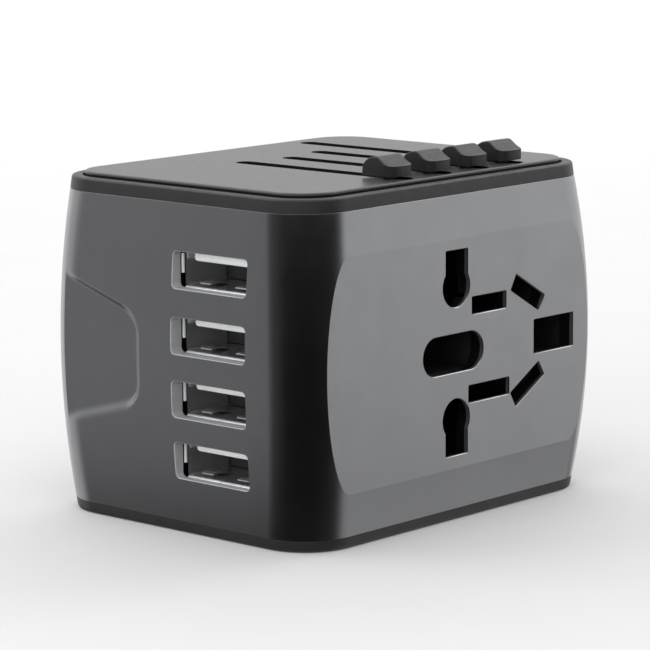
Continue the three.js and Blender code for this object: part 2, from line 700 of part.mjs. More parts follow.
function fuseParts() {
  const { x, y, halfLength, radius, capRadius, capLength } = FUSE;
  const tube = (size, z0, z1) => prismZ(disc(x, y, size), z0, z1);
  const ends = [MID_Z - halfLength, MID_Z + halfLength];
  const body = union([
    tube(radius, ends[0] + 1, ends[1] - 1),
    tube(capRadius, ends[0], ends[0] + capLength),
    tube(capRadius, ends[1] - capLength, ends[1]),
  ]);
  piece("fuse", body, CERAMIC);
  ends.forEach((end, i) => {
    const inward = i === 0 ? 1 : -1;
    const z = [end + inward * 0.8, end + inward * 4.2].sort((a, b) => a - b);
    const clip = box([x - 3.1, x + 2.4], [y - 3.3, y + 3.3], z);
    const bore = tube(capRadius + 0.15, z[0] - 1, z[1] + 1);
    const mouth = box([x, x + 5], [y - 2, y + 2], [z[0] - 1, z[1] + 1]);
    piece(i === 0 ? "fuse_clip_lower" : "fuse_clip_upper", without(clip, [bore, mouth]), BRASS);
  });
}

// ---- Sliders ------------------------------------------------------------------------------------------------------

// The knob's side profile in (y, z): upright rear, round crest, hollow finger slope and upright front lip.
function knobProfile() {
  const profile = new THREE.Shape();
  profile.moveTo(KNOB_REAR, KNOB_BOTTOM);
  profile.lineTo(KNOB_REAR, KNOB_SHOULDER);
  profile.bezierCurveTo(
    KNOB_REAR - 0.1,
    KNOB_SHOULDER + 0.9,
    KNOB_CREST_Y + 1.3,
    KNOB_CREST,
    KNOB_CREST_Y,
    KNOB_CREST,
  );
  profile.bezierCurveTo(
    KNOB_CREST_Y - 0.9,
    KNOB_CREST - 0.05,
    KNOB_FRONT + 1.9,
    KNOB_LIP + 0.02,
    KNOB_FRONT,
    KNOB_LIP,
  );
  profile.lineTo(KNOB_FRONT, KNOB_BOTTOM);
  return profile;
}

function sliderKnob({ name, x }) {
  const length = KNOB_REAR - KNOB_FRONT + KNOB_CORNER;
  const plan = roundedRectangle(x, KNOB_FRONT + length / 2, KNOB_WIDTH, length, KNOB_CORNER);
  const block = prismX(knobProfile(), x - KNOB_WIDTH / 2, x + KNOB_WIDTH / 2);
  const head = block.intersect(prismZ(plan, KNOB_BOTTOM - 1, KNOB_CREST + 1));
  const neck = box(
    [x - NECK_WIDTH / 2, x + NECK_WIDTH / 2],
    [NECK_Y - NECK_LENGTH / 2, NECK_Y + NECK_LENGTH / 2],
    [ARM_TOP + FIT, KNOB_BOTTOM + 0.2],
  );
  piece(`${name}_slider_knob`, head.add(neck), KNOB_BLACK);
}

// The arm under the top plate that joins a knob to its bar.
function carriageArm({ x }) {
  return box(
    [x - ARM_WIDTH / 2, x + ARM_WIDTH / 2],
    [ARM_FRONT, BAR_REAR],
    [ARM_BOTTOM, ARM_TOP],
  );
}

function bar(x, low, high) {
  return box(x, [BAR_FRONT, BAR_REAR], [low, high]);
}

function carriages() {
  const [au, eu, us, uk] = SLIDERS;
  const auBar = union([
    bar([-16.3, -8.9], MID_Z - 10, ARM_TOP),
    bar([-16.3, au.x + ARM_WIDTH / 2], ARM_BOTTOM, ARM_TOP),
    carriageArm(au),
  ]);
  piece("au_carriage", auBar, NYLON);
  piece("eu_carriage", bar([-1.5, 4.4], MID_Z - 12.4, ARM_TOP).add(carriageArm(eu)), NYLON);
  piece("us_carriage", bar([6.1, 12.7], MID_Z - 8, ARM_TOP).add(carriageArm(us)), NYLON);
  const ukBar = union([
    bar([-8.4, -2.1], MID_Z - 19, MID_Z + 15),
    bar([-8.4, 20.4], MID_Z - 19, MID_Z - 15.4),
    bar([14.4, 20.4], MID_Z - 19, ARM_TOP),
    carriageArm(uk),
  ]);
  piece("uk_carriage", ukBar, NYLON);
}

// A plug pin: straight from its carriage, with a tapered tip.
function plugPin(name, pin, side) {
  const tip = FACE_Y + pin.out - TRAVEL;
  const outline = pinOutline(pin, side);
  const shank = prismY(outline, BAR_REAR + FIT, tip - PIN_TAPER);
  const nose = extrude(outline, PIN_TAPER).rotateX(Math.PI / 2).translate(0, tip, 0);
  const middle = new THREE.Vector3(pin.x, 0, MID_Z + side * pin.z);
  const narrow = pin.radius ? ROUND_TIP : FLAT_TIP;
  const position = nose.attributes.position;
  for (let i = 0; i < position.count; i += 1) {
    if (position.getY(i) > tip - PIN_TAPER / 2) {
      position.setX(i, middle.x + (position.getX(i) - middle.x) * narrow);
      position.setZ(i, middle.z + (position.getZ(i) - middle.z) * narrow);
    }
  }
  piece(name, shank.add(solid(nose)), NICKEL);
}

function plugPins() {
  for (const key of ["au", "eu", "us", "uk"]) {
    const kind = key === "eu" ? "pin" : "blade";
    plugPin(`${key}_${kind}_upper`, PINS[key], 1);
    plugPin(`${key}_${kind}_lower`, PINS[key], -1);
  }
  plugPin("uk_earth_blade", PINS.ukEarth, 1);
}

// ---- Assembly -----------------------------------------------------------------------------------------------------

bodySleeve();
topBezel();
topPlate();
bottomCap();
rearCover();
coverScrews();
socketCarrier();
poleContact("line_contact", 1);
poleContact("neutral_contact", -1);
earthContact();
busbars();
PORT_HEIGHTS.forEach((z, i) => {
  usbShell(i + 1, z);
  usbTongue(i + 1, z);
});
electronics();
fuseParts();
SLIDERS.forEach(sliderKnob);
carriages();
plugPins();

export default root;
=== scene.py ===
"""Universal travel adapter: the visual model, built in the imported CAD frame.

+Z is up, the USB ports face -X, the socket faces -Y and the pins slide out towards +Y.
Shapes are worked out in millimetres and written to Blender meshes in metres.
"""
import math

import bmesh
import bpy
from mathutils import Matrix, Vector

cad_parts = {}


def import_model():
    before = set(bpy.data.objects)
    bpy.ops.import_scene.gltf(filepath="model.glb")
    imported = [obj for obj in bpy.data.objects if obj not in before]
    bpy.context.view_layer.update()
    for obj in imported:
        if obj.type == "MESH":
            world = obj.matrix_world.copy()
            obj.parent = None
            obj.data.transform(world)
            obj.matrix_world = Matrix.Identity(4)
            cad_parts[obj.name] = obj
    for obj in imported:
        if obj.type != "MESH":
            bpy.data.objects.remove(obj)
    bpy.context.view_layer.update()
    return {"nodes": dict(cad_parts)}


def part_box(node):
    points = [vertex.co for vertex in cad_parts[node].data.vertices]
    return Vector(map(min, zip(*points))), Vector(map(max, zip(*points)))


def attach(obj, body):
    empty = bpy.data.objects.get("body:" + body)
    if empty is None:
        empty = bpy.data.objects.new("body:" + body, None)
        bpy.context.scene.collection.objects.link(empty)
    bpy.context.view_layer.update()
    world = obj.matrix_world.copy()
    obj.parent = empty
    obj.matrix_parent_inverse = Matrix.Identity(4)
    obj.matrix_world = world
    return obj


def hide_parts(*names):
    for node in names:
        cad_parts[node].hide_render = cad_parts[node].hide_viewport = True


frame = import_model()

MM = 0.001

# ---- Dimensions, in millimetres ------------------------------------------------------------------


def node_box(node):
    """The lowest and highest corner of a CAD node in millimetres."""
    low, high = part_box(node)
    return low / MM, high / MM


sleeve_low, sleeve_high = node_box("body_sleeve")
bezel_low, bezel_high = node_box("top_bezel")
plate_low, plate_high = node_box("top_plate")
cap_high = node_box("bottom_cap")[1]
cover_low, cover_high = node_box("rear_cover")

SLEEVE_BOTTOM = sleeve_low.z
SLEEVE_TOP = sleeve_high.z
FACE_Y = sleeve_high.y  # the flat socket face is at -FACE_Y, the flat pin face at +FACE_Y
BAND_X = bezel_high.x  # half width and half depth at the trim bands
BAND_Y = bezel_high.y
BAND_TOP = bezel_high.z
MID_Z = (cover_low.z + cover_high.z) / 2
CORNER_RADIUS = 8
SIDE_BULGE = sleeve_high.x - BAND_X
REAR_BULGE = 0.95
CAVITY_X = 29.6
CAVITY_Y = 23.4
CAVITY_RADIUS = 4
SEAM = 0.04  # depth of the fine seam between sleeve and bands
BAND_DRAFT = 0.27  # the bands lean in and carry on the barrel's curve

# Finger grips
GRIP_DEPTH = 0.6
GRIP_RADIUS = 3.4
GRIP_FRONT_Y = 5.6
GRIP_FRONT_TOP = 30.9
GRIP_FRONT_BOTTOM = 17.2
GRIP_TOP_RISE = 0.31
GRIP_BOTTOM_FALL = 0.27
GRIP_WALLS = {"front": 1.0, "top": 1.25, "bottom": 1.9}
GRIP_STEP = 0.2  # lattice spacing over a grip
GRIP_START = 0.62  # share of the straight side in front of the fine lattice
GRIP_REACH = 16  # how far behind its front the grip's edges still spread
ROW_START = 0.5  # first coarse row's distance from the sleeve's ends

# Socket face: holes as x, height above the middle, size
FACE_SKIN = 0.6  # thickness of the coloured face round a hole
HOLE_EDGE = 0.1
HOLE_ROOM = 0.6  # how much wider the space behind the skin is
HOLE_CORNER = 0.12
LIVE = {"x": -1.41, "width": 4.78, "end": 14.74}
ROUND = {"x": -1.5, "z": 9.5, "radius": 2.94}
EARTH = {"x": 20.79, "width": 9.2, "height": 5}
FLAT = {"x": 5.84, "z": 6.35, "height": 2.52, "upper": 7.66, "lower": 9.14}
SLANT = {"x": 14.7, "z": 6.73, "width": 7.55, "height": 2.55, "angle": 30}
CENTRE = {"left": -8.74, "right": 4.49, "height": 5.56}

# USB ports
PORT_Y = -7.8
PORT_WIDTH = 14.1
PORT_HEIGHT = 5.2
PORT_RADIUS = 0.7
PORT_EDGE = 0.08
PORT_FLOOR_X = -31.1
ROOM_SIDE = 0.35  # the pocket round a shell, past the opening's sides and past its top
ROOM_RISE = 0.8
SHELL_WIDTH = 12.5
SHELL_HEIGHT = 4.8
SHELL_RADIUS = 0.35
SHELL_SETBACK = 0.35  # from the front of the lips to the tube
SHEET = 0.3
LIP_HALF = 6.3  # half length of the top and bottom lips
LIP_SEAM = 0.05  # half gap where the sheet's ends meet
LIP_LONG = {"spread": 0.26, "flare": 0.55}
LIP_SHORT = {"spread": 0.3, "flare": 0.3}
LIP_SHORT_ENDS = (-0.65, 2.1)
LIP_SHORT_OUT = 0.42
SPRING_PATH = [(1.0, 0.5), (1.6, 0.62), (2.6, 0.6), (4.2, 0.3), (6.5, 0.02)]
SPRING_CENTRES = (-3.4, 3.4)
SPRING_HALF = 1.05
SPRING_SHEET = 0.16
TONGUE = {"width": 11.2, "low": 1, "high": 2.25, "radius": 0.5}
TONGUE_BASE = {"front": -22.5, "half_width": 6.1, "half_height": 2.3}
CONTACT_CENTRES = (-3.5, -1.0, 1.0, 3.5)
CONTACT = {"half_width": 0.5, "start": 1.2, "rear": -22.6, "below": 0.12, "above": 0.1}

# Trim bands
BEZEL_GAP = 0.05  # between the plate and the ledge under it
BEZEL_LEDGE = 1.6
BEZEL_INNER = 2.25
CAP_FLAT = 3  # inset where the underside's flat starts
CAP_INNER = 6
RIM_GAP = 0.15
RIM_WALL = 1.25

# Top plate and knobs
PLATE_INSET = 2.15
PLATE_GROOVE = 0.35
SLOT_WIDTH = 2.8
SLOT_FRONT = -22.4
SLOT_EDGE = 0.03
SLOT_REARS = {"au": 10.6, "eu": 9.2, "us": 11, "uk": 20.4}
KNOBS = {
    "bottom": 49.75,
    "shoulder": 50.8,
    "crest": 52.5,
    "crest_y": -18.1,
    "lip": 51.2,
    "edge": 0.2,  # rounding along the side faces
    "corner": 1.1,  # radius of the upright edges beside the front face
    "bow": 8,  # radius of the front face in plan
}
NECK_HALF = 1
NECK_Y = (-19.25, -18.25)
NECK_OVERLAP = 0.2

# Plug pins: size, and the length of bare metal at the tip
PINS = {
    "au": {"size": (6.5, 1.6), "bare": 8.2, "slant": 30},
    "eu": {"radius": 2.4, "bare": 9},
    "us": {"size": (6.35, 1.5), "bare": None},
    "uk": {"size": (4, 6.35), "bare": 8.7},
}
PIN_CLEARANCE = 0.4
PIN_CORNER = 0.3
SLEEVE_STEP = 0.12  # bare metal stands this far inside the pin's insulation
FACE_EDGE = 0.2
OVERCUT = 0.3  # how far a cutter runs out past the face it cuts

# Rear cover and its screws
COVER = {"width": 50, "height": 38, "radius": 2, "gap": 0.1}
FLANGE_RADIUS = 3
FLANGE_GAP = 0.15
SCREWS = (1, 2, 3, 4)
WELL_FLOOR_Y = 24.3
WELL_CLEARANCE = 0.25
SHANK_HOLE = {"radius": 1.3, "end": 25}
SHANK_RADIUS = 1.1
HEAD_HEIGHT = 1.35
DOME_HEIGHT = 0.6
DOME_ANGLE = 70  # degrees of arc from the head's side to its top
CROSS = {"long": 2.3, "short": 0.5, "corner": 0.12, "depth": 0.75, "draft": 0.08}
SCREW_SPIN = 17  # degrees from one screw's cross to the next

# ---- Mesh helpers --------------------------------------------------------------------------------


def add_object(name, mesh):
    obj = bpy.data.objects.new(name, mesh)
    bpy.context.scene.collection.objects.link(obj)
    return obj


def mesh_object(name, points, faces, indices=None):
    """An object from points in millimetres, with its faces turned outwards."""
    mesh = bpy.data.meshes.new(name)
    mesh.from_pydata([Vector(p) * MM for p in points], [], faces)
    if indices:
        mesh.polygons.foreach_set("material_index", indices)
    work = bmesh.new()
    work.from_mesh(mesh)
    bmesh.ops.remove_doubles(work, verts=work.verts, dist=1e-7)
    bmesh.ops.recalc_face_normals(work, faces=work.faces)
    work.to_mesh(mesh)
    work.free()
    return add_object(name, mesh)


def loft(name, loops, closed=False, indices=None):
    """Skins a row of loops. The ends are capped unless the row closes on itself."""
    count = len(loops[0])
    points = [p for loop in loops for p in loop]
    spans = len(loops) if closed else len(loops) - 1
    faces, materials = [], []
    for i in range(spans):
        j = (i + 1) % len(loops)
        for k in range(count):
            m = (k + 1) % count
            faces.append((i * count + k, i * count + m, j * count + m, j * count + k))
            materials.append(indices[i] if indices else 0)
    if not closed:
        faces.append(tuple(reversed(range(count))))
        faces.append(tuple(range((len(loops) - 1) * count, len(loops) * count)))
        materials += [indices[0], indices[-1]] if indices else [0, 0]
    return mesh_object(name, points, faces, materials)


def rounded(cx, cy, width, height, radius, steps=6):
    """A rounded rectangle, anticlockwise."""
    points = []
    centres = [(1, -1, -90), (1, 1, 0), (-1, 1, 90), (-1, -1, 180)]
    for side, rise, start in centres:
        x = cx + side * (width / 2 - radius)
        y = cy + rise * (height / 2 - radius)
        for i in range(steps + 1):
            angle = math.radians(start + 90 * i / steps)
            points.append((x + radius * math.cos(angle), y + radius * math.sin(angle)))
    return points


def turned(points, cx, cy, degrees):
    c, s = math.cos(math.radians(degrees)), math.sin(math.radians(degrees))
    return [(cx + c * (x - cx) - s * (y - cy), cy + s * (x - cx) + c * (y - cy)) for x, y in points]


def circle(cx, cy, radius, steps=48):
    angles = [2 * math.pi * i / steps for i in range(steps)]
    return [(cx + radius * math.cos(a), cy + radius * math.sin(a)) for a in angles]


def softened(path, radii, steps=4):
    """An open or closed polyline whose corners are rounded; a corner of radius 0 stays sharp."""
    points = []
    for i, corner in enumerate(path):
        radius = radii[i] if isinstance(radii, (list, tuple)) else radii
        if radius == 0:
            points.append(tuple(corner))
            continue
        here = Vector(corner)
        before = (Vector(path[i - 1]) - here).normalized() * radius
        after = (Vector(path[(i + 1) % len(path)]) - here).normalized() * radius
        for k in range(steps + 1):
            t = k / steps
            points.append(tuple(here + before * (1 - t) ** 2 + after * t**2))
    return points


def apply_modifiers(obj):
    graph = bpy.context.evaluated_depsgraph_get()
    mesh = bpy.data.meshes.new_from_object(obj.evaluated_get(graph))
    obj.modifiers.clear()
    obj.data = mesh


def combine(obj, others, operation="DIFFERENCE"):
    """Cuts the other solids from obj, or joins them to it, and removes them."""
    for other in others:
        modifier = obj.modifiers.new("combine", "BOOLEAN")
        modifier.object = other
        modifier.operation = operation
        modifier.solver = "MANIFOLD"
    apply_modifiers(obj)
    for other in others:
        bpy.data.objects.remove(other)


def carve(obj, others, parts, operation="DIFFERENCE"):
    """Combines solids. The faces that the others leave keep their own material index into parts."""
    for piece in [obj, *others]:
        for material in parts:
            piece.data.materials.append(material)
    combine(obj, others, operation)


def smooth(obj, degrees=25):
    for polygon in obj.data.polygons:
        polygon.use_smooth = True
    obj.data.set_sharp_from_angle(angle=math.radians(degrees))
    return obj


def finish_piece(obj, body, parts, nodes):
    """Gives a piece its materials and its body, and hides the CAD nodes that it replaces."""
    indices = [polygon.material_index for polygon in obj.data.polygons]
    obj.data.materials.clear()
    for material in parts:
        obj.data.materials.append(material)
    obj.data.polygons.foreach_set("material_index", indices)
    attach(obj, body)
    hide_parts(*nodes)


def prism_y(name, shape, profile, indices=None):
    """A solid along Y. shape(grow) is its outline in (x, z); profile is rows of (y, grow)."""
    loops = [[(x, y, z) for x, z in shape(grow)] for y, grow in profile]
    return loft(name, loops, indices=indices)


def prism_z(name, shape, profile, indices=None):
    """A solid along Z. shape(inset) is its outline in (x, y); profile is rows of (inset, z)."""
    loops = [[(x, y, z) for x, y in shape(inset)] for inset, z in profile]
    return loft(name, loops, indices=indices)


def block(name, x, y, z, index=0):
    corners = [(x[0], y[0]), (x[1], y[0]), (x[1], y[1]), (x[0], y[1])]
    loops = [[(a, b, height) for a, b in corners] for height in z]
    return loft(name, loops, indices=[index])


# ---- Materials -----------------------------------------------------------------------------------


class Surface:
    """A procedural material whose colour, roughness and relief vary with the place on the object."""

    def __init__(self, name, **uniform):
        self.material = bpy.data.materials.new(name)
        self.material.use_nodes = True
        self.tree = self.material.node_tree
        self.shader = self.tree.nodes["Principled BSDF"]
        for socket, value in uniform.items():
            self.shader.inputs[socket.replace("_", " ")].default_value = value
        self.place = self.tree.nodes.new("ShaderNodeTexCoord").outputs["Object"]
        self.relief = None

    def link(self, a, b):
        self.tree.links.new(a, b)

    def noise(self, size, detail=4, stretch=(1, 1, 1), rough=0.55):
        """Noise whose features are about size millimetres across."""
        mapping = self.tree.nodes.new("ShaderNodeMapping")
        mapping.inputs["Scale"].default_value = stretch
        self.link(self.place, mapping.inputs["Vector"])
        node = self.tree.nodes.new("ShaderNodeTexNoise")
        node.inputs["Scale"].default_value = 1 / (size * MM)
        node.inputs["Detail"].default_value = detail
        node.inputs["Roughness"].default_value = rough
        self.link(mapping.outputs["Vector"], node.inputs["Vector"])
        return node.outputs["Fac"]

    def bands(self, pitch):
        """Fine moulded lines that repeat along Z."""
        node = self.tree.nodes.new("ShaderNodeTexWave")
        node.wave_type = "BANDS"
        node.bands_direction = "Z"
        node.inputs["Scale"].default_value = 1 / (pitch * MM) / 20 * math.pi
        node.inputs["Distortion"].default_value = 0
        self.link(self.place, node.inputs["Vector"])
        return node.outputs["Fac"]

    def cells(self, size):
        node = self.tree.nodes.new("ShaderNodeTexVoronoi")
        node.inputs["Scale"].default_value = 1 / (size * MM)
        self.link(self.place, node.inputs["Vector"])
        return node.outputs["Distance"]

    def ranged(self, source, low, high):
        """Spreads the middle of a texture's values over low to high."""
        node = self.tree.nodes.new("ShaderNodeMapRange")
        node.inputs["From Min"].default_value = 0.3
        node.inputs["From Max"].default_value = 0.7
        node.inputs["To Min"].default_value = low
        node.inputs["To Max"].default_value = high
        self.link(source, node.inputs["Value"])
        return node.outputs["Result"]

    def colour(self, source, dark, light):
        mix = self.tree.nodes.new("ShaderNodeMix")
        mix.data_type = "RGBA"
        mix.inputs["A"].default_value = (*dark, 1)
        mix.inputs["B"].default_value = (*light, 1)
        self.link(self.ranged(source, 0, 1), mix.inputs["Factor"])
        self.link(mix.outputs["Result"], self.shader.inputs["Base Color"])

    def roughness(self, source, low, high):
        self.link(self.ranged(source, low, high), self.shader.inputs["Roughness"])

    def bump(self, source, height):
        """Relief of the given height in millimetres."""
        node = self.tree.nodes.new("ShaderNodeBump")
        node.inputs["Strength"].default_value = 1
        node.inputs["Distance"].default_value = height * MM
        self.link(source, node.inputs["Height"])
        if self.relief:
            self.link(self.relief, node.inputs["Normal"])
        self.relief = node.outputs["Normal"]
        self.link(self.relief, self.shader.inputs["Normal"])


def grey(value, tint=(1.0, 1.0, 1.0)):
    return tuple(value * t for t in tint)


def moulded(name, dark, light, low, high, grain, height, tint=(1, 1, 1), mottle=6, **uniform):
    """Moulded plastic or paint: slow mottling of the colour, and a fine grain in gloss and relief."""
    surface = Surface(name, **uniform)
    surface.colour(surface.noise(mottle), grey(dark, tint), grey(light, tint))
    fine = surface.noise(grain, detail=2, rough=0.6)
    surface.roughness(surface.noise(mottle / 3, detail=6), low, high)
    surface.bump(fine, height)
    return surface


def metal(name, colour, low, high, stretch, metallic=1.0):
    """Drawn or rolled metal: long fine scratches along one direction."""
    surface = Surface(name, Metallic=metallic)
    drawn = surface.noise(0.15, detail=5, stretch=stretch)
    surface.colour(surface.noise(2.5), tuple(c * 0.86 for c in colour), colour)
    surface.roughness(drawn, low, high)
    surface.bump(drawn, 0.004)
    return surface


def make_materials():
    made = {}
    cool = (0.98, 0.99, 1.03)
    made["graphite_shell"] = moulded(
        "graphite_coat", 0.31, 0.325, 0.29, 0.33, 0.11, 0.0015, cool, 9,
        Metallic=1.0, Specular_IOR_Level=0.5,
    )
    made["black_trim"] = moulded(
        "black_trim", 0.016, 0.021, 0.42, 0.52, 0.12, 0.006, cool, 4, Specular_IOR_Level=0.5
    )
    plate = moulded("grained_plate", 0.03, 0.036, 0.31, 0.36, 0.13, 0.012, cool, 1.2, Specular_IOR_Level=0.52)
    plate.bump(plate.cells(0.2), 0.006)
    made["dark_plate"] = plate
    knob = moulded("knob_plastic", 0.012, 0.018, 0.38, 0.48, 0.1, 0.003, cool, 3, Specular_IOR_Level=0.42)
    knob.bump(knob.bands(0.15), 0.012)
    made["knob_black"] = knob
    made["nylon"] = moulded("nylon", 0.012, 0.018, 0.5, 0.62, 0.2, 0.01, cool, 3)
    # Near-black for the insides of the openings, slots, pockets and gaps: black plastic, darkened further as
    # painted shade of their depth
    made["black_and_painted_shade"] = moulded(
        "black_and_painted_shade", 0.003, 0.005, 0.6, 0.7, 0.2, 0.01, cool, 3, Specular_IOR_Level=0.2
    )
    made["hole_wall"] = moulded("hole_wall", 0.035, 0.045, 0.45, 0.55, 0.2, 0.006, cool, 3)
    made["port_wall"] = moulded("port_wall", 0.33, 0.38, 0.45, 0.55, 0.2, 0.006, cool, 3)
    made["white_plastic"] = moulded(
        "white_plastic", 0.88, 0.93, 0.38, 0.46, 0.2, 0.003, (1, 1, 0.98), 2, Subsurface_Weight=0.08
    )
    made["pin_sleeve"] = moulded("pin_sleeve", 0.02, 0.03, 0.4, 0.5, 0.15, 0.005, cool, 3)
    made["shell_steel"] = metal("shell_steel", (0.82, 0.83, 0.85), 0.16, 0.3, (1, 6, 6), metallic=0.92)
    made["lip_steel"] = metal("lip_steel", (0.86, 0.87, 0.88), 0.3, 0.42, (1, 6, 6), metallic=0.45)
    made["screw_steel"] = metal("screw_steel", (0.5, 0.51, 0.53), 0.26, 0.4, (6, 1, 6))
    made["pin_nickel"] = metal("pin_nickel", (0.72, 0.70, 0.66), 0.14, 0.27, (8, 1, 8))
    made["contact_brass"] = metal("contact_brass", (0.72, 0.52, 0.2), 0.24, 0.4, (1, 6, 1))
    made["contact_gold"] = metal("contact_gold", (0.85, 0.62, 0.25), 0.2, 0.32, (1, 8, 8))

    board = moulded("solder_mask", 0.5, 0.62, 0.3, 0.42, 0.3, 0.008, (0.06, 0.4, 0.2), 2)
    board.bump(board.cells(1.6), 0.03)
    made["board_green"] = board
    made["ferrite"] = moulded("ferrite", 0.02, 0.04, 0.65, 0.8, 0.25, 0.03, (1, 0.97, 0.95), 1.5)
    made["can_metal"] = moulded("can_sleeve", 0.08, 0.11, 0.25, 0.35, 0.3, 0.004, (0.8, 0.95, 1.2), 3)
    made["fuse_ceramic"] = moulded("fuse_ceramic", 0.68, 0.78, 0.2, 0.3, 0.4, 0.004, (1, 0.97, 0.9), 2)
    return {key: surface.material for key, surface in made.items()}


materials = make_materials()

# ---- Body sleeve ---------------------------------------------------------------------------------


def swell(z):
    """How far the sleeve stands out at a height, as a share of its full bulge."""
    half = (SLEEVE_TOP - SLEEVE_BOTTOM) / 2
    t = (z - SLEEVE_BOTTOM - half) / half
    return max(0.0, 1 - t * t)


def side_x(z):
    """Half the sleeve's width at a height, outside the grips."""
    return BAND_X + SIDE_BULGE * swell(z)


def grip_share(y, z):
    """0 outside a finger grip, 1 on its floor, and an S-curve on its walls."""
    distances = {
        "front": y - GRIP_FRONT_Y,
        "top": GRIP_FRONT_TOP + GRIP_TOP_RISE * (y - GRIP_FRONT_Y) - z,
        "bottom": z - GRIP_FRONT_BOTTOM + GRIP_BOTTOM_FALL * (y - GRIP_FRONT_Y),
    }
    short = {side: max(GRIP_RADIUS - d, 0) for side, d in distances.items()}
    upright = max(short["top"], short["bottom"])
    inside = GRIP_RADIUS - math.hypot(short["front"], upright)
    if inside <= 0:
        return 0.0
    weights = {side: d * d + 1e-6 for side, d in short.items()}
    wall = sum(GRIP_WALLS[side] * w for side, w in weights.items()) / sum(weights.values())
    t = min(inside / wall, 1.0)
    return t * t * (3 - 2 * t)


def grip_depth(y, z, inset):
    """How far the surface moves in: the floor is flat front to rear, so it runs out on the rear corner."""
    room = GRIP_DEPTH - inset
    return room * grip_share(y, z) if room > 0 else 0.0


def sleeve_columns():
    """The lattice's columns round half of the sleeve: straight ones as shares, corner ones as angles."""
    fine = round((1 - GRIP_START) * 2 * BAND_Y / GRIP_STEP * 0.7)
    straight = [GRIP_START * i / 6 for i in range(6)]
    straight += [GRIP_START + (1 - GRIP_START) * i / fine for i in range(fine)]
    runout = math.degrees(math.acos(1 - GRIP_DEPTH / CORNER_RADIUS))
    rear = [runout * i / 14 for i in range(14)]
    rear += [runout + (90 - runout) * i / 22 for i in range(23)]
    front = [90 * i / 30 for i in range(30)]
    return straight, rear, front


STRAIGHT, REAR_ANGLES, FRONT_ANGLES = sleeve_columns()


def sleeve_half(z, inset):
    """One side of the sleeve's outline at a height, from the front corner round to the rear one."""
    grow = swell(z)
    radius = CORNER_RADIUS - inset
    corner_x = BAND_X - CORNER_RADIUS + SIDE_BULGE * grow
    front_y = -(BAND_Y - CORNER_RADIUS + SIDE_BULGE * grow)
    rear_y = BAND_Y - CORNER_RADIUS + REAR_BULGE * grow
    points = []
    for degrees in FRONT_ANGLES:
        a = math.radians(90 - degrees)
        points.append((corner_x + radius * math.cos(a), front_y - radius * math.sin(a)))
    for share in STRAIGHT:
        y = front_y + (rear_y - front_y) * share
        points.append((corner_x + radius - grip_depth(y, z, 0), y))
    for degrees in REAR_ANGLES:
        a = math.radians(degrees)
        y = rear_y + radius * math.sin(a)
        sagitta = radius * (1 - math.cos(a))
        points.append((corner_x + radius - sagitta - grip_depth(y, z, sagitta), y))
    return points


def sleeve_rows():
    """The lattice's rows as (height, inset): about 1 mm apart, and GRIP_STEP apart over the grip."""
    fine_low = GRIP_FRONT_BOTTOM - GRIP_BOTTOM_FALL * GRIP_REACH - 1
    fine_high = GRIP_FRONT_TOP + GRIP_TOP_RISE * GRIP_REACH + 1
    low_count = round(fine_low - SLEEVE_BOTTOM)
    low_span = fine_low - SLEEVE_BOTTOM - ROW_START
    fine_count = round((fine_high - fine_low) / GRIP_STEP)
    high_count = round(SLEEVE_TOP - fine_high)
    high_span = SLEEVE_TOP - ROW_START - fine_high
    heights = [SLEEVE_BOTTOM + SEAM]
    heights += [SLEEVE_BOTTOM + ROW_START + low_span * i / low_count for i in range(low_count)]
    heights += [fine_low + (fine_high - fine_low) * i / fine_count for i in range(fine_count)]
    heights += [fine_high + high_span * i / high_count for i in range(high_count + 1)]
    heights.append(SLEEVE_TOP - SEAM)
    return [(SLEEVE_BOTTOM, SEAM), *((z, 0) for z in heights), (SLEEVE_TOP, SEAM)]


def socket_shapes():
    """The outline of each socket opening as a function of how much it is grown, in (x, z)."""

    def slot(x, z, width, height, g):
        return rounded(x, z, width + 2 * g, height + 2 * g, HOLE_CORNER + g, 2)

    def earth(g):
        return slot(EARTH["x"], MID_Z, EARTH["width"], EARTH["height"], g)

    def centre(g):
        middle = (CENTRE["left"] + CENTRE["right"]) / 2
        width = CENTRE["right"] - CENTRE["left"]
        radius = CENTRE["height"] / 2 + g - 0.01
        return rounded(middle, MID_Z, width + 2 * g, CENTRE["height"] + 2 * g, radius, 20)

    shapes = [earth, centre]
    for side in (1, -1):
        flat_width = FLAT["upper"] if side > 0 else FLAT["lower"]
        live_z = MID_Z + side * (ROUND["z"] + LIVE["end"]) / 2
        slant_z = MID_Z + side * SLANT["z"]

        def live(g, z=live_z):
            return slot(LIVE["x"], z, LIVE["width"], LIVE["end"] - ROUND["z"], g)

        def hole(g, z=MID_Z + side * ROUND["z"]):
            return circle(ROUND["x"], z, ROUND["radius"] + g, 64)

        def flat(g, z=MID_Z + side * FLAT["z"], w=flat_width):
            return slot(FLAT["x"], z, w, FLAT["height"], g)

        def slant(g, z=slant_z, turn=-side * SLANT["angle"]):
            return turned(slot(SLANT["x"], z, SLANT["width"], SLANT["height"], g), SLANT["x"], z, turn)

        shapes += [live, hole, flat, slant]
    return shapes


def socket_cutters():
    """Each opening: a chamfered mouth through the coloured skin, then a wider black room behind it, whose
    near-black is partly painted shade of the hole's depth.
    """
    profile = [
        (-FACE_Y - 0.4, 0.4 + HOLE_EDGE),
        (-FACE_Y + HOLE_EDGE, 0),
        (-FACE_Y + FACE_SKIN, 0),
        (-FACE_Y + FACE_SKIN, HOLE_ROOM),
        (-CAVITY_Y + 1, HOLE_ROOM),
    ]
    return [
        prism_y(f"cut_socket_{i}", shape, profile, [0, 2, 1, 1])
        for i, shape in enumerate(socket_shapes())
    ]


